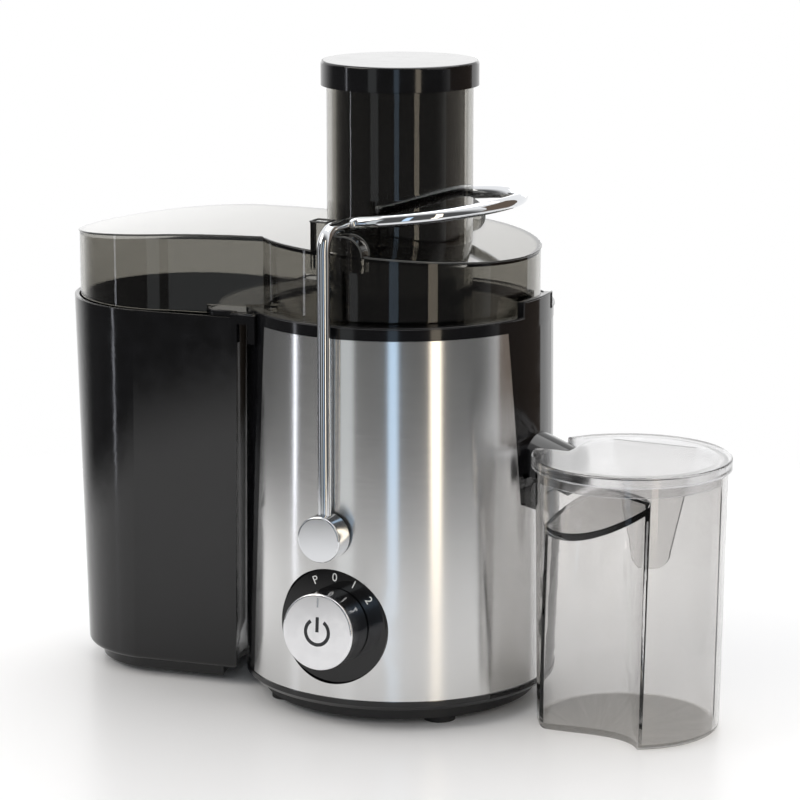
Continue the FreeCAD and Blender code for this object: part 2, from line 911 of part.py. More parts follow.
# Bail: two arms, a step over each ear, and a loop that rises gently towards the cup
def bail_half():
    in_bend = 1 - math.sqrt(0.5)
    tilt = math.radians(loop_tilt)
    rise = V(math.cos(tilt), 0, math.sin(tilt))
    foot = V(0, -arm_reach, pivot_height + pivot_pin_radius + wire_foot)
    arm_end = V(0, -arm_reach, bail_height - bail_bend)
    turn_mid = V(0, -arm_reach + bail_bend * in_bend, bail_height - bail_bend * in_bend)
    turn_end = V(0, -arm_reach + bail_bend, bail_height)
    step_end = V(0, -loop_half_width - loop_bend, bail_height)
    corner_mid = V(0, -loop_half_width - loop_bend * in_bend, bail_height) + rise * (loop_bend * in_bend)
    corner_end = V(0, -loop_half_width, bail_height) + rise * loop_bend
    tip = V(0, 0, bail_height) + rise * (loop_bend + loop_half_width)
    return [foot, arm_end, turn_mid, turn_end, step_end, corner_mid, corner_end], tip


def bail_run(points):
    foot, arm_end, turn_mid, turn_end, step_end, corner_mid, corner_end = points
    run = [line(foot, arm_end), arc(arm_end, turn_mid, turn_end), line(turn_end, step_end)]
    return run + [arc(step_end, corner_mid, corner_end)]


def bail_wire():
    near, tip = bail_half()
    back = [V(p.x, -p.y, p.z) for p in near]
    loop = arc(near[-1], tip, back[-1])
    path = Part.Wire(Part.__sortEdges__(bail_run(near) + [loop] + bail_run(back)))
    section = Part.Wire(Part.makeCircle(wire_radius, near[0], V(0, 0, 1)))
    return path.makePipeShell([section], True, True)


def pivot_cap():
    body = rod_y(pivot_cap_radius, -pivot_cap_outer, -pivot_cap_inner, 0, pivot_height)
    face_edges = [e for e in body.Edges if abs(e.BoundBox.YMax + pivot_cap_outer) < seat_gap]
    body = body.makeFillet(pivot_cap_edge, face_edges)
    pin_end = -pivot_cap_outer + pivot_cap_face
    body = body.cut(rod_y(pivot_pin_radius + running_gap, pin_end, 0, 0, pivot_height))
    top = pivot_height + pivot_cap_radius + cut_over
    return body.cut(disc(wire_radius + seat_gap, pivot_height, top, 0, -arm_reach))


def pivot_pin():
    end = pivot_cap_outer - pivot_cap_face - move_gap
    wall = housing_radius(pivot_height) - housing_wall
    seat = math.sqrt(wall ** 2 - pivot_pin_head ** 2) - seat_gap
    shank = rod_y(pivot_pin_radius, -end, -seat, 0, pivot_height)
    return shank.fuse(rod_y(pivot_pin_head, -seat, -seat + pivot_pin_head_thick, 0, pivot_height))


# Pusher
def pusher_body():
    low = chute_bottom + pusher_foot_gap
    inside = disc(pusher_radius - pusher_wall, low + pusher_wall, cap_bottom + cut_over)
    return disc(pusher_radius, low, cap_bottom).cut(inside)


def pusher_cap():
    top = cap_bottom + cap_height
    body = disc(cap_radius, cap_bottom, top)
    body = body.makeFillet(cap_edge, edges_at(body, top))
    plug = pusher_radius - pusher_wall - seat_gap
    return body.fuse(ring(plug, plug - cap_plug_wall, cap_bottom - cap_plug, cap_bottom)).removeSplitter()


# Dial
def dial_bezel():
    body = disc(bezel_radius, -bezel_depth, 0)
    body = body.makeFillet(bezel_edge, edges_at(body, 0))
    return on_dial(body.cut(disc(spindle_radius + running_gap, -bezel_depth - cut_over, cut_over)))


def dial_knob():
    top = knob_lift + knob_depth
    body = disc(knob_radius, knob_lift, top)
    body = body.makeFillet(knob_edge, edges_at(body, top))
    return on_dial(body.cut(disc(spindle_radius + seat_gap, 0, knob_lift + spindle_in_knob)))


def dial_spindle():
    high = knob_lift + spindle_in_knob - seat_gap
    return on_dial(disc(spindle_radius, -bezel_depth - spindle_in_switch, high))


def rotary_switch():
    half = switch_side / 2
    high = -bezel_depth - seat_gap
    body = slab(-half, half, half, high - switch_depth, high)
    socket_end = -bezel_depth - spindle_in_switch - move_gap
    return on_dial(body.cut(disc(spindle_radius + running_gap, socket_end, high + cut_over)))


# Pulp bin: a rounded end and two straight sides that run on towards the motor axis
def bin_outline(centre, radius, neck_offset, neck_half, z):
    slope = (neck_half - radius) / neck_offset
    inner_half = radius - slope * centre
    a = V(centre, -radius, z)
    b = V(centre, radius, z)
    c = V(0, inner_half, z)
    d = V(0, -inner_half, z)
    return Part.Wire([arc(b, V(centre - radius, 0, z), a), line(a, d), line(d, c), line(c, b)])


def bin_section(inset, z):
    share = (z - bin_bottom) / (bin_rim - bin_bottom)
    centre = bin_foot_centre + share * (bin_centre - bin_foot_centre)
    radius = bin_foot_radius + share * (bin_rim_radius - bin_foot_radius)
    neck_offset = bin_foot_neck_offset + share * (bin_neck_offset - bin_foot_neck_offset)
    neck_half = bin_foot_neck_half + share * (bin_neck_half - bin_foot_neck_half)
    return bin_outline(centre, radius - inset, neck_offset, neck_half - inset, z)


def bin_form(inset, low):
    return Part.makeLoft([bin_section(inset, low), bin_section(inset, bin_rim)], True, True)


def bin_plinth():
    high = bin_bottom + bin_floor / 2
    radius = bin_foot_radius - bin_plinth_inset
    neck_half = bin_foot_neck_half - bin_plinth_inset
    outline = bin_outline(bin_foot_centre, radius, bin_foot_neck_offset, neck_half, bin_plinth_bottom)
    plinth = Part.Face(outline).extrude(V(0, 0, high - bin_plinth_bottom))
    return plinth.cut(disc(bin_hollow_radius + bin_plinth_inset, 0, bin_rim))


def bin_pad_places():
    near = -bin_hollow_radius - bin_plinth_inset - bin_pad_radius - bin_pad_edge
    return [(near, -bin_pad_spread), (near, bin_pad_spread), (bin_foot_centre - bin_pad_back, 0)]


def pulp_bin():
    top = bin_rim + cut_over
    outer = bin_form(0, bin_bottom).cut(disc(bin_hollow_radius, 0, top))
    outer = outer.makeFillet(bin_edge, edges_at(outer, bin_bottom))
    hollow = bin_form(bin_wall, bin_bottom + bin_floor).cut(disc(bin_hollow_radius + bin_wall, 0, top))
    body = outer.cut(hollow).fuse(bin_plinth())
    for x, y in bin_pad_places():
        body = body.cut(disc(bin_pad_radius + seat_gap, 0, bin_plinth_bottom + bin_pad_inset, x, y))
    return body.removeSplitter()


def bin_pads():
    high = bin_plinth_bottom + bin_pad_inset
    return Part.makeCompound([disc(bin_pad_radius, 0, high, x, y) for x, y in bin_pad_places()])


# Juice cup with a curved grip recess under a slanted brow, drawn around the cup's own axis
def grip_section(places, level, inset):
    first, *middle, last = places
    points = [V(first[0] - inset, first[1], level)]
    points += [V(x, y + inset, level) for x, y in middle]
    points += [V(last[0] + inset, last[1], level)]
    wall = Part.BSplineCurve()
    wall.interpolate(points)
    left = V(points[0].x, -far, level)
    right = V(points[-1].x, -far, level)
    return Part.Wire([wall.toShape(), line(points[-1], right), line(right, left), line(left, points[0])])


def grip_brow(inset):
    top = cup_rim - grip_top_drop + inset
    brow = cup_rim - grip_brow_drop + inset
    bend = cup_top_radius - (top - brow) / grip_brow_slope
    points = [(-far, -cut_over), (-far, top), (bend, top)]
    points += [(cup_top_radius, brow), (far, brow), (far, -cut_over)]
    return turned(prism_y(points, -far, far), grip_brow_angle)


def grip_cut(inset):
    foot = [(grip_foot_left, -grip_foot_depth), (grip_back_left, -grip_foot_depth)]
    foot += [(grip_back_right, -grip_foot_depth), (grip_foot_right, -grip_out)]
    top = [(grip_left, -grip_out), (grip_back_left, -grip_top_depth)]
    top += [(grip_back_right, -grip_top_depth), (grip_right, -grip_out)]
    sections = [grip_section(foot, -cut_over, inset), grip_section(top, cup_rim, inset)]
    cutter = Part.makeLoft(sections, True, True).common(grip_brow(inset))
    cutter.translate(V(cup_x, cup_y, 0))
    return cutter


def spout_notch(reach):
    return slab(0, reach, spout_half_width + notch_gap, spout_low(spout_reach) - notch_gap, crown_top)


def juice_cup():
    rise = (cup_top_radius - cup_foot_radius) / cup_rim
    foot = V(cup_x, cup_y, 0)
    outer = Part.makeCone(cup_foot_radius, cup_top_radius, cup_rim, foot)
    outer = outer.makeFillet(cup_edge, edges_at(outer, 0)).cut(grip_cut(0))
    inner_low = cup_foot_radius + rise * cup_floor - cup_wall
    inner_top = cup_top_radius + rise * cut_over - cup_wall
    depth = cup_rim + cut_over - cup_floor
    inner = Part.makeCone(inner_low, inner_top, depth, foot + V(0, 0, cup_floor))
    return outer.cut(inner.cut(grip_cut(cup_wall))).cut(spout_notch(cup_x - cup_wall))


def cup_lid():
    low = cup_rim + rest_gap
    high = low + cup_lid_height
    body = disc(cup_lid_radius, low, high, cup_x, cup_y)
    body = body.makeFillet(cup_lid_edge, edges_at(body, high))
    plug_radius = cup_top_radius - cup_wall - move_gap
    body = body.fuse(disc(plug_radius, cup_rim - cup_lid_plug, low, cup_x, cup_y))
    body = body.cut(disc(plug_radius - cup_wall, 0, high - cup_lid_top, cup_x, cup_y))
    return body.cut(spout_notch(spout_reach + notch_gap)).removeSplitter()


def froth_separator():
    y = cup_y + separator_y
    top = cup_rim + rest_gap + cup_lid_height - cup_lid_top
    round_z = separator_tip + separator_tip_radius
    wide = separator_half_width
    tip = separator_tip_radius
    outline = [(cup_x - wide, top), (cup_x + wide, top), (cup_x + tip, round_z), (cup_x - tip, round_z)]
    plate = prism_y(outline, y, y + separator_thick)
    end = rod_y(tip, y, y + separator_thick, cup_x, round_z)
    return plate.fuse(end).removeSplitter()


def build():
    return {
        "housing_shell": housing_shell(),
        "steel_wrap": steel_wrap(),
        "base_cover": base_cover(),
        "base_feet": base_feet(),
        "base_screws": base_screws(),
        "cord_bush": cord_bush(),
        "lower_bracket": bracket(lower_bracket_top, lower_bracket_plate, lower_bracket_radius),
        "upper_bracket": upper_bracket(),
        "bracket_screws": bracket_screws(),
        "lower_bearing": bearing(lower_bracket_top),
        "upper_bearing": bearing(upper_bracket_top),
        "stator_core": stator_core(),
        "field_coils": field_coils(),
        "tie_bolts": pair_turned(tie_bolt()),
        "stator_sleeves": stator_sleeves(),
        "brush_holders": brush_holders(),
        "carbon_brushes": carbon_brushes(),
        "shaft_seal": shaft_seal(),
        "rotary_switch": rotary_switch(),
        "dial_bezel": dial_bezel(),
        "pivot_pins": pair_across(pivot_pin()),
        "juice_bowl": juice_bowl(),
        "lid": lid(),
        "motor_shaft": motor_shaft(),
        "armature_core": armature_core(),
        "armature_winding": armature_winding(),
        "commutator": commutator(),
        "cooling_fan": cooling_fan(),
        "drive_coupling": drive_coupling(),
        "basket_hub": basket_hub(),
        "filter_basket": filter_basket(),
        "grater_disc": grater_disc(),
        "bail_wire": bail_wire(),
        "pivot_caps": pair_across(pivot_cap()),
        "pusher_body": pusher_body(),
        "pusher_cap": pusher_cap(),
        "dial_knob": dial_knob(),
        "dial_spindle": dial_spindle(),
        "pulp_bin": pulp_bin(),
        "bin_pads": bin_pads(),
        "juice_cup": juice_cup(),
        "cup_lid": cup_lid(),
        "froth_separator": froth_separator(),
    }


def centre(shapes):
    box = Part.makeCompound(list(shapes.values())).optimalBoundingBox(False)
    shift = V(-box.Center.x, -box.Center.y, 0)
    for shape in shapes.values():
        shape.translate(shift)
    return shift


shapes = build()
shift = centre(shapes)
print("motor axis at", round(shift.x, 4), round(shift.y, 4), "cup axis at", round(cup_x, 4))
os.makedirs("parts", exist_ok=True)
for node, shape in shapes.items():
    shape.exportStep(os.path.join("parts", node + ".step"))
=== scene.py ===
"""Looks of the centrifugal juicer: finishes, dial marks, basket holes, rounded edges and a studio."""

import json
import math

import bmesh
import bpy
from bpy.props import FloatProperty, FloatVectorProperty, IntProperty, PointerProperty
from bpy.types import Operator, Panel, PropertyGroup
from mathutils import Matrix, Vector


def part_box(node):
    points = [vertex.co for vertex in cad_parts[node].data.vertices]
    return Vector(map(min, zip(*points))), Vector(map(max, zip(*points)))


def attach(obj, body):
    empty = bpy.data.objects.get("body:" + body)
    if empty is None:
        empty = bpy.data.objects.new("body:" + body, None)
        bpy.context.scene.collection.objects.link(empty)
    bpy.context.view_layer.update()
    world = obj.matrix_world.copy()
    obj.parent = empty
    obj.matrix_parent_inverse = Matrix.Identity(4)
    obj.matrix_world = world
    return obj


bl_info = {
    "name": "Centrifugal juicer looks",
    "version": (1, 0, 0),
    "blender": (4, 5, 0),
    "location": "View3D > Sidebar > Juicer",
    "description": "Finishes, dial marks, basket holes and a studio for a centrifugal juicer",
    "category": "Object",
}

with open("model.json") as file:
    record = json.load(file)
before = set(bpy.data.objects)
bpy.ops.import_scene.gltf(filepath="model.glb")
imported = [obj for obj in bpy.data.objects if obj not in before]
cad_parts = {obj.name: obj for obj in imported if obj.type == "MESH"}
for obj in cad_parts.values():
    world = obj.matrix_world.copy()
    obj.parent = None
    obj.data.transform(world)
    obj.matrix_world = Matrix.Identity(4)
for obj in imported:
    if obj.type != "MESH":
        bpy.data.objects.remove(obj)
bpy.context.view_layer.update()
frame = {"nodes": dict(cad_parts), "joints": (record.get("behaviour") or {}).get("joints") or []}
MM = 0.001
JOINTS = {joint["name"]: joint for joint in frame["joints"]}
AXIS_X, AXIS_Y = JOINTS["basket_spin"]["pos_m"][:2]

# Details that a user has no need to change
NOISE_LOW, NOISE_HIGH = 0.3, 0.7  # nearly all of a noise pattern lies between these
MERGE = 0.001 * MM  # corners closer than this are one
INK_HALF = 0.02 * MM  # half the thickness of a mark on the bezel
FILM = 0.05 * MM  # thickness of the print on the knob
SIGN_BAR = 1.2  # the power sign's bar, in radii of the sign
POINTER_SHARE = 0.5  # width of the pointer, in widths of the sign's line
ARC_STEPS = 40
STUD_LENGTH = 1.06 * MM  # just past the basket's 1 mm sheet
STUD_SIDES = 6
RIM_STEPS = 48
RIM_FACETS = 3
BEAD_SINK = 0.75  # depth of the bead's middle under the bin's rim, in bead radii
EDGE_SIDES = 8
CHUTE_WALL = 4 * MM  # the chute's wall and the pusher's play
EDGE_ROOM = 2 * MM  # room left beside an edge when it is looked for
FLOOR_SIDES = 96
SENSOR = 36  # width of the camera's frame in millimetres


# Colour and node helpers
def linear(hex_colour):
    """An sRGB hex value as linear red, green, blue and alpha."""
    parts = [int(hex_colour[i:i + 2], 16) / 255 for i in (1, 3, 5)]
    return [c / 12.92 if c <= 0.04045 else ((c + 0.055) / 1.055) ** 2.4 for c in parts] + [1.0]


def per_mm(size):
    """Texture scale that gives features of this many millimetres."""
    return 1 / (size * MM)


def add(tree, kind, inputs=None, **settings):
    """Adds a node with its settings and fills its sockets with values or links."""
    node = tree.nodes.new(kind)
    for name, value in settings.items():
        setattr(node, name, value)
    for socket, value in (inputs or {}).items():
        # A node that is given as a value stands for its first output
        if isinstance(value, bpy.types.Node):
            value = value.outputs[0]
        if isinstance(value, bpy.types.NodeSocket):
            tree.links.new(value, node.inputs[socket])
        else:
            node.inputs[socket].default_value = value
    return node


def finish(name, maker, *details):
    """A new material with the shader that a maker builds on Object coordinates."""
    material = bpy.data.materials.new(name)
    material.use_nodes = True
    tree = material.node_tree
    tree.nodes.clear()
    coords = add(tree, "ShaderNodeTexCoord").outputs["Object"]
    add(tree, "ShaderNodeOutputMaterial", {"Surface": maker(tree, coords, *details)})
    return material


def skin(tree, pattern, tones=None, rough=None, relief=None, depth=0.0, **sockets):
    """A surface whose tone and roughness follow a pattern, with a relief so many millimetres deep."""
    span = {"Value": pattern, "From Min": NOISE_LOW, "From Max": NOISE_HIGH}
    if tones:
        dark, light = [linear(tone) for tone in tones]
        share = add(tree, "ShaderNodeMapRange", span)
        tone = add(tree, "ShaderNodeMix", {0: share, 6: dark, 7: light}, data_type="RGBA")
        sockets["Base Color"] = tone.outputs[2]
    if rough:
        low, high = rough
        sockets["Roughness"] = add(tree, "ShaderNodeMapRange", {**span, "To Min": low, "To Max": high})
    if relief is not None:
        height = {"Height": relief, "Distance": depth * MM, "Strength": 1.0}
        sockets["Normal"] = add(tree, "ShaderNodeBump", height)
    return add(tree, "ShaderNodeBsdfPrincipled", sockets)


# Finishes
def gloss_abs(tree, coords):
    """Black ABS from a polished mould: a deep mirror with faint flow waves and a little haze."""
    drawn = add(tree, "ShaderNodeMapping", {"Vector": coords, "Scale": (1, 1, 1 / 3)})
    flow = add(tree, "ShaderNodeTexNoise", {"Vector": drawn, "Scale": per_mm(45), "Detail": 2})
    haze = add(tree, "ShaderNodeTexNoise", {"Vector": coords, "Scale": per_mm(9), "Detail": 4})
    return skin(tree, haze, ("#0a0a0b", "#0e0e10"), (0.07, 0.13), flow, 0.06, IOR=1.52)


def grained_polypropylene(tree, coords):
    """Black polypropylene from a sparked mould: a dull fine grain."""
    grain = add(tree, "ShaderNodeTexNoise", {"Vector": coords, "Scale": per_mm(0.9), "Detail": 2})
    return skin(tree, grain, ("#131314", "#1d1d1f"), (0.45, 0.6), grain, 0.05, IOR=1.49)


def brushed_steel(tree, coords, tones, rough, stretch):
    """Steel brushed or turned round the piece: hair lines that draw each highlight out up and down."""
    # The real hair lines are near 0.05 mm, drawn a little coarser here so that they show
    drawn = add(tree, "ShaderNodeMapping", {"Vector": coords, "Scale": (1 / stretch, 1 / stretch, 1)})
    hair = add(tree, "ShaderNodeTexNoise", {"Vector": drawn, "Scale": per_mm(0.22), "Detail": 2})
    tall = add(tree, "ShaderNodeMapping", {"Vector": coords, "Scale": (1, 1, 1 / 4)})
    cloud = add(tree, "ShaderNodeTexNoise", {"Vector": tall, "Scale": per_mm(22), "Detail": 2})
    both = add(tree, "ShaderNodeMath", {0: hair, 1: cloud}, operation="ADD")
    low, high = rough
    dull = add(tree, "ShaderNodeMapRange", {
        "Value": both, "From Min": 0.7, "From Max": 1.3, "To Min": low, "To Max": high})
    outward = add(tree, "ShaderNodeNewGeometry").outputs["Normal"]
    along = add(tree, "ShaderNodeVectorMath", {0: outward, 1: (0, 0, 1)}, operation="CROSS_PRODUCT")
    across = add(tree, "ShaderNodeVectorMath", {0: along, 1: outward}, operation="CROSS_PRODUCT")
    return skin(tree, hair, tones, None, hair, 0.00025,
                Metallic=1.0, Roughness=dull, Anisotropic=0.85, Tangent=across)


def chrome_plate(tree, coords, tone, rough):
    """Chrome plate: a clean mirror with a cool cast and faint polishing clouds."""
    cloud = add(tree, "ShaderNodeTexNoise", {"Vector": coords, "Scale": per_mm(6), "Detail": 3})
    wave = add(tree, "ShaderNodeTexNoise", {"Vector": coords, "Scale": per_mm(14), "Detail": 1})
    plate = {"Base Color": linear(tone), "Metallic": 1.0}
    return skin(tree, cloud, None, rough, wave, 0.01, **plate)


def clear_styrene(tree, coords, tint, shadow_tint, rough):
    """Clear styrene with a smoke tint: glassy walls with a thin haze, and a pale tinted shadow."""
    haze = add(tree, "ShaderNodeTexNoise", {"Vector": coords, "Scale": per_mm(12), "Detail": 3})
    wave = add(tree, "ShaderNodeTexNoise", {"Vector": coords, "Scale": per_mm(30), "Detail": 1})
    clear = {"Base Color": linear(tint), "IOR": 1.45, "Transmission Weight": 1.0}
    glass = skin(tree, haze, None, rough, wave, 0.03, **clear)
    through = add(tree, "ShaderNodeBsdfTransparent", {"Color": linear(shadow_tint)})
    shadow = add(tree, "ShaderNodeLightPath").outputs["Is Shadow Ray"]
    return add(tree, "ShaderNodeMixShader", {0: shadow, 1: glass, 2: through})


def edge_tint_and_painted_shade(tree, coords):
    """The rounded edge of a smoked moulding as an opaque dark bead: the tint is deep along it, and the
    dark line that the clear edge shows against the dim room in front is painted shade.
    """
    # The dark tones stand for the deep tint along the edge and, as painted shade, for the dark line it
    # shows against the dim room in front
    depth = add(tree, "ShaderNodeTexNoise", {"Vector": coords, "Scale": per_mm(20), "Detail": 1})
    return skin(tree, depth, ("#2c2c2b", "#3d3d3b"), Roughness=0.06, IOR=1.55)


def black_rubber(tree, coords):
    """Black moulded rubber: dull, slightly greyed where it is handled."""
    bloom = add(tree, "ShaderNodeTexNoise", {"Vector": coords, "Scale": per_mm(3.5), "Detail": 4})
    grain = add(tree, "ShaderNodeTexNoise", {"Vector": coords, "Scale": per_mm(0.7), "Detail": 3})
    return skin(tree, bloom, ("#141415", "#232324"), (0.6, 0.8), grain, 0.04)


def copper_turns(tree, coords):
    """Enamelled copper wire in layers: glossy red brown turns 0.6 mm apart, with painted shade in the
    grooves between the turns.
    """
    bands = {"Vector": coords, "Scale": per_mm(0.6) / math.tau, "Distortion": 0.6}
    turns = add(tree, "ShaderNodeTexWave", bands, bands_direction="Z").outputs[1]
    # The dark tone follows the low relief: painted shade in the grooves between the turns
    return skin(tree, turns, ("#6d3115", "#b06a3a"), None, turns, 0.15, Metallic=1.0, Roughness=0.3)


def sanded_alloy(tree, coords):
    """Die-cast aluminium alloy: pale grey with a fine sanded skin."""
    sand = add(tree, "ShaderNodeTexNoise", {"Vector": coords, "Scale": per_mm(1.2), "Detail": 4})
    return skin(tree, sand, ("#8f9194", "#a6a8ab"), (0.4, 0.55), sand, 0.05, Metallic=1.0)


def dark_carbon(tree, coords):
    """Pressed carbon: near black with a soft graphite sheen."""
    grit = add(tree, "ShaderNodeTexNoise", {"Vector": coords, "Scale": per_mm(0.8), "Detail": 4})
    return skin(tree, grit, ("#1a1a1c", "#2c2c2f"), (0.4, 0.6), grit, 0.03)


def ink_and_hole_shade(tree, coords, dark, light):
    """Pad printed ink, and the painted shade inside the basket's holes: a thin even film, a touch
    mottled.
    """
    film = add(tree, "ShaderNodeTexNoise", {"Vector": coords, "Scale": per_mm(0.8), "Detail": 2})
    return skin(tree, film, (dark, light), Roughness=0.4)


# The maker of each finish, with its tones, its roughness and the rest that the maker asks for
FINISHES = {
    "moulded_gloss_abs": (gloss_abs,),
    "textured_polypropylene": (grained_polypropylene,),
    # The wrap has long fine hair lines, pressed sheet has shorter ones, and turned steel is the dullest
    "brushed_stainless": (brushed_steel, ("#dcdcdc", "#e0e0df"), (0.185, 0.22), 60),
    "pressed_stainless": (brushed_steel, ("#a9a7a3", "#c4c2be"), (0.14, 0.26), 12),
    "machined_steel": (brushed_steel, ("#9b9c9e", "#b4b5b7"), (0.25, 0.4), 6),
    # The wire is a mirror, and the plate on the plastic knob is satin
    "bright_chrome": (chrome_plate, "#e3e5e8", (0.02, 0.05)),
    "plated_knob": (chrome_plate, "#f4f4f6", (0.12, 0.2)),
    # The lid's smoke is deep and the cup's is pale, and the cup's own lid is frosted
    "smoke_styrene": (clear_styrene, "#a9a7a1", "#b9b7b2", (0.015, 0.05)),
    "pale_smoke_styrene": (clear_styrene, "#e6e5e4", "#efeeec", (0.015, 0.05)),
    "satin_styrene": (clear_styrene, "#f3f3f4", "#f5f5f5", (0.135, 0.17)),
    "moulded_rubber": (black_rubber,),
    "enamelled_copper": (copper_turns,),
    "cast_alloy": (sanded_alloy,),
    "pressed_carbon": (dark_carbon,),
    "white_ink": (ink_and_hole_shade, "#e4e4e2", "#f2f2f0"),
    "dark_ink": (ink_and_hole_shade, "#1a1b1e", "#26272b"),
    "grey_ink": (ink_and_hole_shade, "#8d9094", "#999ca0"),
    # Painted shade: the dark inside of a punched hole, on the studs that stand in the holes
    "hole_shade": (ink_and_hole_shade, "#0d0d0d", "#161616"),
    # Opaque dark bead on the lid's near edges: deeper tint along the edge, and painted shade for its
    # dark line
    "smoke_edge": (edge_tint_and_painted_shade,),
}

# The CAD nodes that take each finish
WORN_BY = {
    "moulded_gloss_abs": "housing_shell juice_bowl pusher_body pusher_cap dial_bezel pulp_bin",
    "textured_polypropylene": "base_cover brush_holders cooling_fan rotary_switch drive_coupling "
                              "basket_hub",
    "brushed_stainless": "steel_wrap",
    "pressed_stainless": "filter_basket grater_disc",
    "machined_steel": "base_screws bracket_screws lower_bearing upper_bearing stator_core tie_bolts "
                      "stator_sleeves pivot_pins motor_shaft armature_core dial_spindle",
    "cast_alloy": "lower_bracket upper_bracket",
    "enamelled_copper": "field_coils armature_winding commutator",
    "pressed_carbon": "carbon_brushes",
    "moulded_rubber": "base_feet cord_bush shaft_seal bin_pads",
    "bright_chrome": "bail_wire pivot_caps",
    "plated_knob": "dial_knob",
    "smoke_styrene": "lid",
    "pale_smoke_styrene": "juice_cup froth_separator",
    "satin_styrene": "cup_lid",
}


# Mesh helpers
def placed(name, data):
    """A new object in the scene."""
    made = bpy.data.objects.new(name, data)
    bpy.context.scene.collection.objects.link(made)
    return made


def piece(name, mesh, material, body):
    """Makes a finished mesh an object that rides on a body."""
    made = placed(name, mesh)
    mesh.materials.clear()
    mesh.materials.append(bpy.data.materials[material])
    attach(made, body)


def baked(source):
    """The evaluated object as a plain mesh, and the source removed."""
    bpy.context.view_layer.update()
    evaluated = source.evaluated_get(bpy.context.evaluated_depsgraph_get())
    mesh = bpy.data.meshes.new_from_object(evaluated)
    bpy.data.objects.remove(source)
    return mesh


def shaped(name, mesh, tree, values):
    """The mesh that a node tree makes of another one, its inputs set by their names."""
    source = placed(name + "_source", mesh)
    modifier = source.modifiers.new(name, "NODES")
    modifier.node_group = tree
    for item in tree.interface.items_tree:
        if item.in_out == "INPUT" and item.name in values:
            modifier[item.identifier] = values[item.name]
    return baked(source)


def as_mesh(name, form):
    """The bmesh as a mesh, and the bmesh freed."""
    mesh = bpy.data.meshes.new(name)
    form.to_mesh(mesh)
    form.free()
    return mesh


def dial_place():
    """The matrix that lays a flat drawing on the bezel's face, with +Z outwards."""
    inward = Vector(JOINTS["dial_turn"]["axis"])
    outward = -inward.normalized()
    right = Vector((1, 0, 0))
    up = outward.cross(right)
    turn = Matrix((right, up, outward)).transposed().to_4x4()
    return Matrix.Translation(JOINTS["dial_turn"]["pos_m"]) @ turn


def lettering(text, height, place):
    """A printed mark, laid in its place."""
    curve = bpy.data.curves.new("mark_" + text, "FONT")
    curve.body = text
    curve.size = height
    curve.align_x = "CENTER"
    curve.align_y = "CENTER"
    curve.extrude = INK_HALF
    mesh = baked(placed("mark_" + text, curve))
    mesh.transform(place)
    return mesh


def joined(meshes):
    """Several closed meshes as one, with faces that point outwards."""
    whole = bmesh.new()
    for mesh in meshes:
        whole.from_mesh(mesh)
    bmesh.ops.recalc_face_normals(whole, faces=whole.faces)
    return as_mesh("joined", whole)


def bar(width, low, high, thick):
    """A flat bar on the Y axis."""
    form = bmesh.new()
    bmesh.ops.create_cube(form, size=1)
    bmesh.ops.scale(form, vec=(width, high - low, thick), verts=form.verts)
    bmesh.ops.translate(form, vec=(0, (low + high) / 2, thick / 2), verts=form.verts)
    return as_mesh("bar", form)


def arc_band(radius, width, first, last, thick):
    """A flat band along an arc, its angles in radians from +Y."""
    form = bmesh.new()
    rows = []
    for i in range(ARC_STEPS + 1):
        angle = first + (last - first) * i / ARC_STEPS
        ends = [radius - width / 2, radius + width / 2]
        corners = [(r * math.sin(angle), r * math.cos(angle), z) for z in (0, thick) for r in ends]
        rows.append([form.verts.new(corner) for corner in corners])
    for a, b in zip(rows, rows[1:]):
        for i, j in ((0, 1), (1, 3), (3, 2), (2, 0)):
            form.faces.new((a[i], a[j], b[j], b[i]))
    for end in (rows[0], rows[-1]):
        form.faces.new((end[0], end[1], end[3], end[2]))
    bmesh.ops.recalc_face_normals(form, faces=form.faces)
    return as_mesh("arc_band", form)


# Settings that a user would change
class JuicerDial(PropertyGroup):
    """Marks on the dial and the knob."""
    mark_circle: FloatProperty(
        name="Mark circle", description="Radius of the marks",
        default=22.9 * MM, unit="LENGTH")
    mark_height: FloatProperty(
        name="Mark height", description="Letter height",
        default=5.6 * MM, unit="LENGTH")
    mark_step: FloatProperty(
        name="Mark step", description="Angle between marks",
        default=math.radians(26), unit="ROTATION")
    face_lift: FloatProperty(
        name="Face", description="Knob face above the bezel",
        default=17.0 * MM, unit="LENGTH")
    sign_radius: FloatProperty(
        name="Sign radius", description="Radius of the power sign",
        default=6.0 * MM, unit="LENGTH")
    sign_width: FloatProperty(
        name="Sign width", description="Line width of the power sign",
        default=1.7 * MM, unit="LENGTH")
    sign_gap: FloatProperty(
        name="Sign gap", description="Half the gap at the sign's top",
        default=math.radians(34), unit="ROTATION")
    pointer_from: FloatProperty(
        name="Pointer foot", description="Inner end of the pointer",
        default=11.8 * MM, unit="LENGTH")
    pointer_to: FloatProperty(
        name="Pointer tip", description="Outer end of the pointer",
        default=16.4 * MM, unit="LENGTH")


class JuicerBasket(PropertyGroup):
    """Perforations of the filter basket."""
    rows: IntProperty(
        name="Rows", description="Rows of holes",
        default=15)
    per_row: IntProperty(
        name="Holes in a row", description="Holes around the basket",
        default=84)
    hole: FloatProperty(
        name="Hole radius", description="Radius of one hole",
        default=0.75 * MM, unit="LENGTH")
    low: FloatProperty(
        name="Low row", description="Height of the lowest row above the floor",
        default=4 * MM, unit="LENGTH")
    high: FloatProperty(
        name="High row", description="Height of the highest row above the floor",
        default=42 * MM, unit="LENGTH")
    foot_radius: FloatProperty(
        name="Foot radius", description="Wall radius at the floor",
        default=41.5 * MM, unit="LENGTH")
    top_radius: FloatProperty(
        name="Top radius", description="Wall radius under the rim",
        default=60 * MM, unit="LENGTH")
    wall_rise: FloatProperty(
        name="Wall rise", description="Height of the sloping wall",
        default=45.4 * MM, unit="LENGTH")


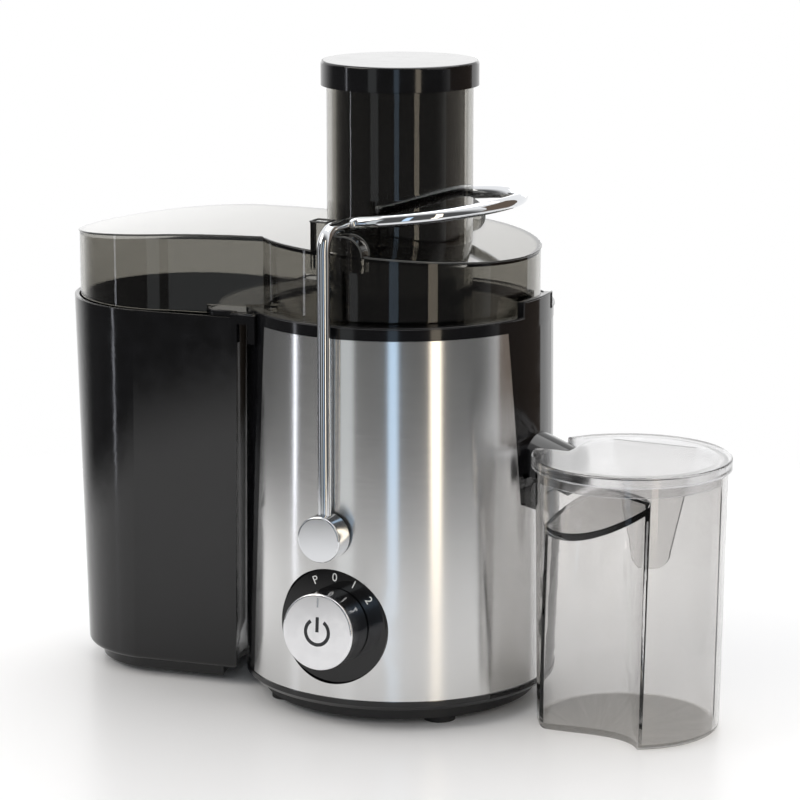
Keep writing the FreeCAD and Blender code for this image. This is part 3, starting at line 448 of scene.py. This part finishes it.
class JuicerBin(PropertyGroup):
    """Rounded bead on the pulp bin's rim."""
    bead: FloatProperty(
        name="Bead radius", description="Radius of the rim bead",
        default=0.8 * MM, unit="LENGTH")
    round_radius: FloatProperty(
        name="Round end", description="Radius of the bin's round end",
        default=58.45 * MM, unit="LENGTH")
    centre_reach: FloatProperty(
        name="Centre", description="Round end's centre from the motor axis",
        default=114.5 * MM, unit="LENGTH")
    neck_half: FloatProperty(
        name="Neck", description="Half width at the neck",
        default=54.45 * MM, unit="LENGTH")
    neck_reach: FloatProperty(
        name="Neck place", description="Neck from the motor axis",
        default=60 * MM, unit="LENGTH")


class JuicerEdges(PropertyGroup):
    """Rounded edges on the lid and the bowl's ring."""
    lid_edge: FloatProperty(
        name="Lid edge", description="Radius of the lid's edge",
        default=0.5 * MM, unit="LENGTH")
    ring_edge: FloatProperty(
        name="Ring edge", description="Radius of the ring's edge",
        default=0.55 * MM, unit="LENGTH")
    lid_low: FloatProperty(
        name="Lid level", description="Edges above this are rounded",
        default=212 * MM, unit="LENGTH")
    ear_half: FloatProperty(
        name="Ear", description="Half width of an ear",
        default=16 * MM, unit="LENGTH")
    ear_root: FloatProperty(
        name="Ear root", description="An ear's root is below this",
        default=222 * MM, unit="LENGTH")
    sharp: FloatProperty(
        name="Sharp", description="Edges that turn more than this",
        default=math.radians(50), unit="ROTATION")


class JuicerStage(PropertyGroup):
    """Camera and floor."""
    turn: FloatProperty(
        name="Turn", description="Camera to the right of the front",
        default=math.radians(26), unit="ROTATION")
    distance: FloatProperty(
        name="Distance", description="Camera from the motor axis, level",
        default=1500 * MM, unit="LENGTH")
    height: FloatProperty(
        name="Height", description="Camera above the floor",
        default=466.4 * MM, unit="LENGTH")
    pitch: FloatProperty(
        name="Pitch", description="Camera looks down by this",
        default=math.radians(12.15), unit="ROTATION")
    lens: FloatProperty(
        name="Lens", description="Focal length in millimetres",
        default=142.46, unit="CAMERA")
    floor_radius: FloatProperty(
        name="Floor", description="Radius of the floor sheet",
        default=560 * MM, unit="LENGTH")
    floor_fade: FloatProperty(
        name="Fade", description="Radius where the floor starts to fade",
        default=380 * MM, unit="LENGTH")
    floor_colour: FloatVectorProperty(
        name="Floor colour", description="Paper on the floor",
        default=linear("#f6f6f7")[:3], subtype="COLOR")


# Operators
class JuicerOperator:
    """What all the operators share."""
    bl_options = {"REGISTER", "UNDO"}


class JUICER_OT_finishes(JuicerOperator, Operator):
    """Make the finishes and give one to every CAD node"""
    bl_idname = "juicer.finishes"
    bl_label = "Finishes"

    def execute(self, context):
        for name, maker in FINISHES.items():
            finish(name, *maker)
        for name, nodes in WORN_BY.items():
            for node in nodes.split():
                slots = frame["nodes"][node].data.materials
                slots.clear()
                slots.append(bpy.data.materials[name])
        return {"FINISHED"}


class JUICER_OT_dial_marks(JuicerOperator, Operator):
    """Print the speed marks on the bezel, and the power sign and pointer on the knob"""
    bl_idname = "juicer.dial_marks"
    bl_label = "Dial marks"

    def execute(self, context):
        dial = context.scene.juicer_dial
        place = dial_place()
        marks = []
        for i, text in enumerate("P012"):
            turn = Matrix.Rotation(-dial.mark_step * (i - 1), 4, "Z")
            up = Matrix.Translation((0, dial.mark_circle, INK_HALF))
            marks.append(lettering(text, dial.mark_height, place @ turn @ up))
        piece("bezel_marks", joined(marks), "white_ink", "base")
        face = place @ Matrix.Translation((0, 0, dial.face_lift))
        sign = joined([
            arc_band(dial.sign_radius, dial.sign_width, dial.sign_gap, math.tau - dial.sign_gap, FILM),
            bar(dial.sign_width, 0, dial.sign_radius * SIGN_BAR, FILM)])
        sign.transform(face)
        piece("knob_sign", sign, "dark_ink", "dial")
        pointer = bar(dial.sign_width * POINTER_SHARE, dial.pointer_from, dial.pointer_to, FILM)
        pointer.transform(face)
        piece("knob_pointer", pointer, "grey_ink", "dial")
        return {"FINISHED"}


def basket_hole_tree():
    """Holes in rows on a cone: a line's points are wound round it and a stud in painted shade stands on
    each.
    """
    tree = bpy.data.node_groups.new("basket_holes", "GeometryNodeTree")
    asked = {"Rows": "Int", "Per row": "Int", "Hole": "Float", "Low": "Float", "High": "Float",
             "Foot radius": "Float", "Slope": "Float"}
    for name, kind in asked.items():
        tree.interface.new_socket(name, in_out="INPUT", socket_type="NodeSocket" + kind)
    tree.interface.new_socket("Holes", in_out="OUTPUT", socket_type="NodeSocketGeometry")
    given = add(tree, "NodeGroupInput").outputs
    rows, per_row, low, slope = given["Rows"], given["Per row"], given["Low"], given["Slope"]

    # The row and the column of each point, with every second row half a step round
    index = add(tree, "GeometryNodeInputIndex")
    row = add(tree, "ShaderNodeMath", {0: index, 1: rows}, operation="MODULO")
    columns = add(tree, "ShaderNodeMath", {0: index, 1: rows}, operation="DIVIDE")
    column = add(tree, "ShaderNodeMath", {0: columns}, operation="FLOOR")
    odd = add(tree, "ShaderNodeMath", {0: row, 1: 2.0}, operation="MODULO")
    step = add(tree, "ShaderNodeMath", {0: odd, 1: 0.5, 2: column}, operation="MULTIPLY_ADD")
    turns = add(tree, "ShaderNodeMath", {0: step, 1: per_row}, operation="DIVIDE")
    angle = add(tree, "ShaderNodeMath", {0: turns, 1: math.tau}, operation="MULTIPLY")
    cosine = add(tree, "ShaderNodeMath", {0: angle}, operation="COSINE")
    sine = add(tree, "ShaderNodeMath", {0: angle}, operation="SINE")

    # Its height, and the wall's radius there
    last = add(tree, "ShaderNodeMath", {0: rows, 1: 1.0}, operation="SUBTRACT")
    share = add(tree, "ShaderNodeMath", {0: row, 1: last}, operation="DIVIDE")
    rise = add(tree, "ShaderNodeMath", {0: given["High"], 1: low}, operation="SUBTRACT")
    height = add(tree, "ShaderNodeMath", {0: share, 1: rise, 2: low}, operation="MULTIPLY_ADD")
    wall = {0: height, 1: slope, 2: given["Foot radius"]}
    radius = add(tree, "ShaderNodeMath", wall, operation="MULTIPLY_ADD")
    x = add(tree, "ShaderNodeMath", {0: radius, 1: cosine}, operation="MULTIPLY")
    y = add(tree, "ShaderNodeMath", {0: radius, 1: sine}, operation="MULTIPLY")
    place = add(tree, "ShaderNodeCombineXYZ", {0: x, 1: y, 2: height})
    tilt = add(tree, "ShaderNodeMath", {0: slope, 1: -1.0}, operation="MULTIPLY")
    outward = add(tree, "ShaderNodeCombineXYZ", {0: cosine, 1: sine, 2: tilt})

    # A stud on each point, square to the wall
    count = add(tree, "ShaderNodeMath", {0: rows, 1: per_row}, operation="MULTIPLY")
    line = add(tree, "GeometryNodeMeshLine", {"Count": count})
    points = add(tree, "GeometryNodeSetPosition", {"Geometry": line, "Position": place})
    stud = add(tree, "GeometryNodeMeshCylinder", {
        "Vertices": STUD_SIDES, "Radius": given["Hole"], "Depth": STUD_LENGTH})
    turn = add(tree, "FunctionNodeAlignEulerToVector", {"Vector": outward}, axis="Z")
    studs = {"Points": points, "Instance": stud, "Rotation": turn}
    many = add(tree, "GeometryNodeInstanceOnPoints", studs)
    real = add(tree, "GeometryNodeRealizeInstances", {"Geometry": many})
    # The studs take the painted shade of the holes' dark inside
    shade = bpy.data.materials["hole_shade"]
    dark = add(tree, "GeometryNodeSetMaterial", {"Geometry": real, "Material": shade})
    add(tree, "NodeGroupOutput", {"Holes": dark})
    return tree


class JUICER_OT_basket_holes(JuicerOperator, Operator):
    """Mark the filter basket's wall with rows of small holes, as studs in painted shade"""
    bl_idname = "juicer.basket_holes"
    bl_label = "Basket holes"

    def execute(self, context):
        basket = context.scene.juicer_basket
        slope = (basket.top_radius - basket.foot_radius) / basket.wall_rise
        values = {"Rows": basket.rows, "Per row": basket.per_row, "Hole": basket.hole,
                  "Low": basket.low, "High": basket.high, "Foot radius": basket.foot_radius,
                  "Slope": slope}
        empty = bpy.data.meshes.new("basket_holes_source")
        mesh = shaped("basket_holes", empty, basket_hole_tree(), values)
        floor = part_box("filter_basket")[0].z
        mesh.transform(Matrix.Translation((AXIS_X, AXIS_Y, floor)))
        piece("basket_holes", mesh, "hole_shade", "spinner")
        return {"FINISHED"}


class JUICER_OT_bin_rim(JuicerOperator, Operator):
    """Round the pulp bin's rim with a bead"""
    bl_idname = "juicer.bin_rim"
    bl_label = "Bin rim"

    def execute(self, context):
        rim = context.scene.juicer_bin
        radius = rim.round_radius - rim.bead
        half = rim.neck_half - rim.bead
        arc = [math.pi / 2 + math.pi * i / RIM_STEPS for i in range(RIM_STEPS + 1)]
        path = [(-rim.neck_reach, half)]
        path += [(-rim.centre_reach + radius * math.cos(a), radius * math.sin(a)) for a in arc]
        path += [(-rim.neck_reach, -half)]
        curve = bpy.data.curves.new("bin_rim", "CURVE")
        curve.dimensions = "3D"
        curve.bevel_depth = rim.bead
        curve.bevel_resolution = RIM_FACETS
        curve.use_fill_caps = True
        spline = curve.splines.new("POLY")
        spline.points.add(len(path) - 1)
        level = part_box("pulp_bin")[1].z - rim.bead * BEAD_SINK
        for point, (x, y) in zip(spline.points, path):
            point.co = (x + AXIS_X, y + AXIS_Y, level, 1)
        mesh = baked(placed("bin_rim_source", curve))
        for face in mesh.polygons:
            face.use_smooth = True
        piece("bin_rim_bead", mesh, "moulded_gloss_abs", "bin")
        return {"FINISHED"}


def edge_round_tree():
    """A round bead swept along loose edges."""
    tree = bpy.data.node_groups.new("edge_round", "GeometryNodeTree")
    for name, kind in {"Edges": "Geometry", "Radius": "Float", "Material": "Material"}.items():
        tree.interface.new_socket(name, in_out="INPUT", socket_type="NodeSocket" + kind)
    tree.interface.new_socket("Bead", in_out="OUTPUT", socket_type="NodeSocketGeometry")
    given = add(tree, "NodeGroupInput").outputs
    runs = add(tree, "GeometryNodeMeshToCurve", {"Mesh": given["Edges"]})
    ring = {"Resolution": EDGE_SIDES, "Radius": given["Radius"]}
    profile = add(tree, "GeometryNodeCurvePrimitiveCircle", ring)
    bead = add(tree, "GeometryNodeCurveToMesh", {"Curve": runs, "Profile Curve": profile})
    real = add(tree, "GeometryNodeRealizeInstances", {"Geometry": bead})
    smooth = add(tree, "GeometryNodeSetShadeSmooth", {"Geometry": real})
    done = add(tree, "GeometryNodeSetMaterial", {"Geometry": smooth, "Material": given["Material"]})
    add(tree, "NodeGroupOutput", {"Bead": done})
    return tree


def edge_bead(name, node, radius, sharp, keep, material, body):
    """Rounds the sharp outer edges of a CAD node, where both their ends pass a test, with a bead."""
    form = bmesh.new()
    form.from_mesh(frame["nodes"][node].data)
    bmesh.ops.remove_doubles(form, verts=form.verts, dist=MERGE)
    form.verts.index_update()
    loose = bmesh.new()
    made = {}
    for edge in form.edges:
        turns = len(edge.link_faces) == 2 and edge.is_convex and edge.calc_face_angle() > sharp
        if turns and all(keep(v.co) for v in edge.verts):
            for v in edge.verts:
                if v.index not in made:
                    made[v.index] = loose.verts.new(v.co)
            loose.edges.new([made[v.index] for v in edge.verts])
    form.free()
    tree = bpy.data.node_groups.get("edge_round") or edge_round_tree()
    values = {"Radius": radius, "Material": bpy.data.materials[material]}
    piece(name, shaped(name, as_mesh(name, loose), tree, values), material, body)


class JUICER_OT_edges(JuicerOperator, Operator):
    """Round the near edges of the lid with a dark bead in painted shade, and the edge of the bowl's top
    ring
    """
    bl_idname = "juicer.edges"
    bl_label = "Edges"

    def execute(self, context):
        edges = context.scene.juicer_edges
        rim = context.scene.juicer_bin
        stage = context.scene.juicer_stage
        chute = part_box("pusher_body")[1].x - AXIS_X + CHUTE_WALL + EDGE_ROOM
        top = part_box("housing_shell")[1].z + EDGE_ROOM
        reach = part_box("steel_wrap")[1].x - AXIS_X - EDGE_ROOM

        def off_axis(p):
            return math.hypot(p.x - AXIS_X, p.y - AXIS_Y)

        def on_lid(p):
            under_ear = abs(p.x - AXIS_X) < edges.ear_half and p.z < edges.ear_root
            return p.z > edges.lid_low and off_axis(p) > chute and not under_ear

        # The far edges stay plain, since they fade into the white room behind them; the bead's dark
        # tone on the near edges is painted shade for the dark line they show against the dim room in
        # front
        def in_front(p):
            centre = AXIS_X - rim.centre_reach if p.x < AXIS_X - rim.neck_reach else AXIS_X
            return (p.x - centre) * math.sin(stage.turn) - (p.y - AXIS_Y) * math.cos(stage.turn) > 0

        def on_ring(p):
            return p.z > top and off_axis(p) > reach

        # The lid's near edges take the opaque dark bead: painted shade for their dark line
        edge_bead("lid_edges", "lid", edges.lid_edge, edges.sharp, lambda p: on_lid(p) and in_front(p),
                  "smoke_edge", "base")
        edge_bead("ring_edges", "juice_bowl", edges.ring_edge, edges.sharp, on_ring,
                  "moulded_gloss_abs", "base")
        return {"FINISHED"}


# The stage
def paper_sweep(tree, coords, stage):
    """White paper: takes the soft shadow near the object and fades into the white room further out."""
    reach = add(tree, "ShaderNodeVectorMath", {0: coords}, operation="LENGTH").outputs["Value"]
    band = {"Value": reach, "From Min": stage.floor_fade, "From Max": stage.floor_radius}
    fade = add(tree, "ShaderNodeMapRange", band, interpolation_type="SMOOTHSTEP")
    paper = add(tree, "ShaderNodeBsdfPrincipled", {
        "Base Color": list(stage.floor_colour) + [1], "Roughness": 0.34, "Specular IOR Level": 0.35})
    gone = add(tree, "ShaderNodeBsdfTransparent")
    return add(tree, "ShaderNodeMixShader", {0: fade, 1: paper, 2: gone})


def plain_glow(tree, coords, tone):
    """A card with an even brown glow, as the dark side of a room is in a mirror."""
    return add(tree, "ShaderNodeEmission", {"Color": linear(tone), "Strength": 1.0})


# Soft boxes: degrees to the right of the front, then reach, height, width and tallness in metres,
# watts, colour, and the height that the box is turned to
LAMPS = {
    "key_box": (-48, 1.3, 1.3, 1.0, 1.0, 9, "#fffaf2", 0.12),
    "left_strip": (-57, 1.8, 0.4, 0.07, 2.2, 1.6, "#f2f5ff", 0.4),
    "left_panel": (-14, 1.8, 0.4, 0.4, 2.2, 1.6, "#eef4f6", 0.4),
    "cool_panel": (21, 1.9, 0.4, 0.24, 2.2, 2.0, "#bfdcf8", 0.4),
    "warm_strip": (52, 1.8, 0.4, 0.24, 2.2, 4.4, "#fff0d8", 0.4),
    "back_box": (206, 2.2, 0.5, 2.6, 0.8, 3.6, "#ffffff", 0.12),
    "top_box": (180, 0.5, 1.5, 1.2, 1.2, 9, "#ffffff", 0.12),
}


def lamp(name, turn, reach, height, width, tall, power, colour, aim):
    """A soft box that mirrors see, and that the camera and clear walls don't."""
    light = bpy.data.lights.new(name, "AREA")
    light.shape = "RECTANGLE"
    light.size = width
    light.size_y = tall
    light.energy = power
    light.color = linear(colour)[:3]
    made = placed(name, light)
    angle = math.radians(turn)
    made.location = (reach * math.sin(angle), -reach * math.cos(angle), height)
    made.rotation_euler = (Vector((0, 0, aim)) - made.location).to_track_quat("-Z", "Y").to_euler()
    made.visible_camera = False
    made.visible_transmission = False


def brown_card(turn, reach, width, tall):
    """A brown card at the right, behind the cup, that only mirrors see."""
    form = bmesh.new()
    bmesh.ops.create_grid(form, x_segments=1, y_segments=1, size=0.5)
    bmesh.ops.scale(form, vec=(width, tall, 1), verts=form.verts)
    mesh = as_mesh("brown_card", form)
    mesh.materials.append(finish("brown_card", plain_glow, "#6b5f55"))
    card = placed("brown_card", mesh)
    upright = Matrix.Rotation(math.pi / 2, 4, "X")
    # Its lowest quarter is under the floor
    out = Matrix.Translation((0, -reach, tall / 4))
    card.matrix_world = Matrix.Rotation(math.radians(turn), 4, "Z") @ out @ upright
    for kind in ("camera", "diffuse", "transmission", "shadow", "volume_scatter"):
        setattr(card, "visible_" + kind, False)


def white_room():
    """White behind the object, a dimmer room in front of it, and even light all round."""
    world = bpy.data.worlds.new("white_room")
    world.use_nodes = True
    tree = world.node_tree
    tree.nodes.clear()
    way = add(tree, "ShaderNodeTexCoord").outputs["Generated"]
    # The ceiling counts as the back of the room, so an edge that looks up takes a bright line
    back = (0, 1, 0.6)
    depth = add(tree, "ShaderNodeVectorMath", {0: way, 1: back}, operation="DOT_PRODUCT")
    room = {"Value": depth.outputs["Value"], "From Min": -0.15, "From Max": 0.45,
            "To Min": 0.09, "To Max": 1.0}
    mirrored = add(tree, "ShaderNodeMapRange", room, interpolation_type="SMOOTHSTEP")
    # Clear walls let a lighter room through than the one that polished walls mirror
    through = add(tree, "ShaderNodeMapRange", {"Value": mirrored, "To Min": 0.25})
    rays = add(tree, "ShaderNodeLightPath").outputs
    # Even light falls on everything, and each kind of ray that sees the room then takes its own level
    strength = 0.66
    for ray, seen in (("Glossy", mirrored), ("Transmission", through), ("Camera", 1.0)):
        by_ray = {0: rays["Is " + ray + " Ray"], 2: strength, 3: seen}
        strength = add(tree, "ShaderNodeMix", by_ray, data_type="FLOAT")
    sky = add(tree, "ShaderNodeBackground", {"Color": (1, 1, 1, 1), "Strength": strength})
    add(tree, "ShaderNodeOutputWorld", {"Surface": sky})
    return world


class JUICER_OT_stage(JuicerOperator, Operator):
    """Set the floor, the lamps, the white room and the camera"""
    bl_idname = "juicer.stage"
    bl_label = "Stage"

    def execute(self, context):
        stage = context.scene.juicer_stage
        disc = bmesh.new()
        bmesh.ops.create_circle(disc, cap_ends=True, radius=stage.floor_radius, segments=FLOOR_SIDES)
        floor = as_mesh("floor", disc)
        floor.materials.append(finish("floor_paper", paper_sweep, stage))
        placed("floor", floor)
        for name, row in LAMPS.items():
            lamp(name, *row)
        brown_card(turn=126, reach=0.9, width=0.8, tall=1.2)
        context.scene.world = white_room()
        context.scene.view_settings.view_transform = "Standard"
        eye = bpy.data.cameras.new("camera")
        eye.lens = stage.lens
        eye.sensor_width = SENSOR
        camera = placed("camera", eye)
        camera.location = (AXIS_X + stage.distance * math.sin(stage.turn),
                           AXIS_Y - stage.distance * math.cos(stage.turn), stage.height)
        camera.rotation_euler = (math.pi / 2 - stage.pitch, 0, stage.turn)
        context.scene.camera = camera
        return {"FINISHED"}


class JUICER_PT_looks(Panel):
    """Lists the steps that dress the juicer"""
    bl_idname = "JUICER_PT_looks"
    bl_label = "Juicer"
    bl_space_type = "VIEW_3D"
    bl_region_type = "UI"
    bl_category = "Juicer"

    def draw(self, context):
        for operator in OPERATORS:
            self.layout.operator(operator.bl_idname)


OPERATORS = (JUICER_OT_finishes, JUICER_OT_dial_marks, JUICER_OT_basket_holes, JUICER_OT_bin_rim,
             JUICER_OT_edges, JUICER_OT_stage)
SETTINGS = {"juicer_dial": JuicerDial, "juicer_basket": JuicerBasket, "juicer_bin": JuicerBin,
            "juicer_edges": JuicerEdges, "juicer_stage": JuicerStage}


def register():
    for name, group in SETTINGS.items():
        bpy.utils.register_class(group)
        setattr(bpy.types.Scene, name, PointerProperty(type=group))
    for known in OPERATORS + (JUICER_PT_looks,):
        bpy.utils.register_class(known)


def unregister():
    for known in (JUICER_PT_looks,) + OPERATORS[::-1]:
        bpy.utils.unregister_class(known)
    for name, group in SETTINGS.items():
        delattr(bpy.types.Scene, name)
        bpy.utils.unregister_class(group)


def main():
    register()
    for operator in OPERATORS:
        group, name = operator.bl_idname.split(".")
        getattr(getattr(bpy.ops, group), name)()


if __name__ == "__main__":
    main()
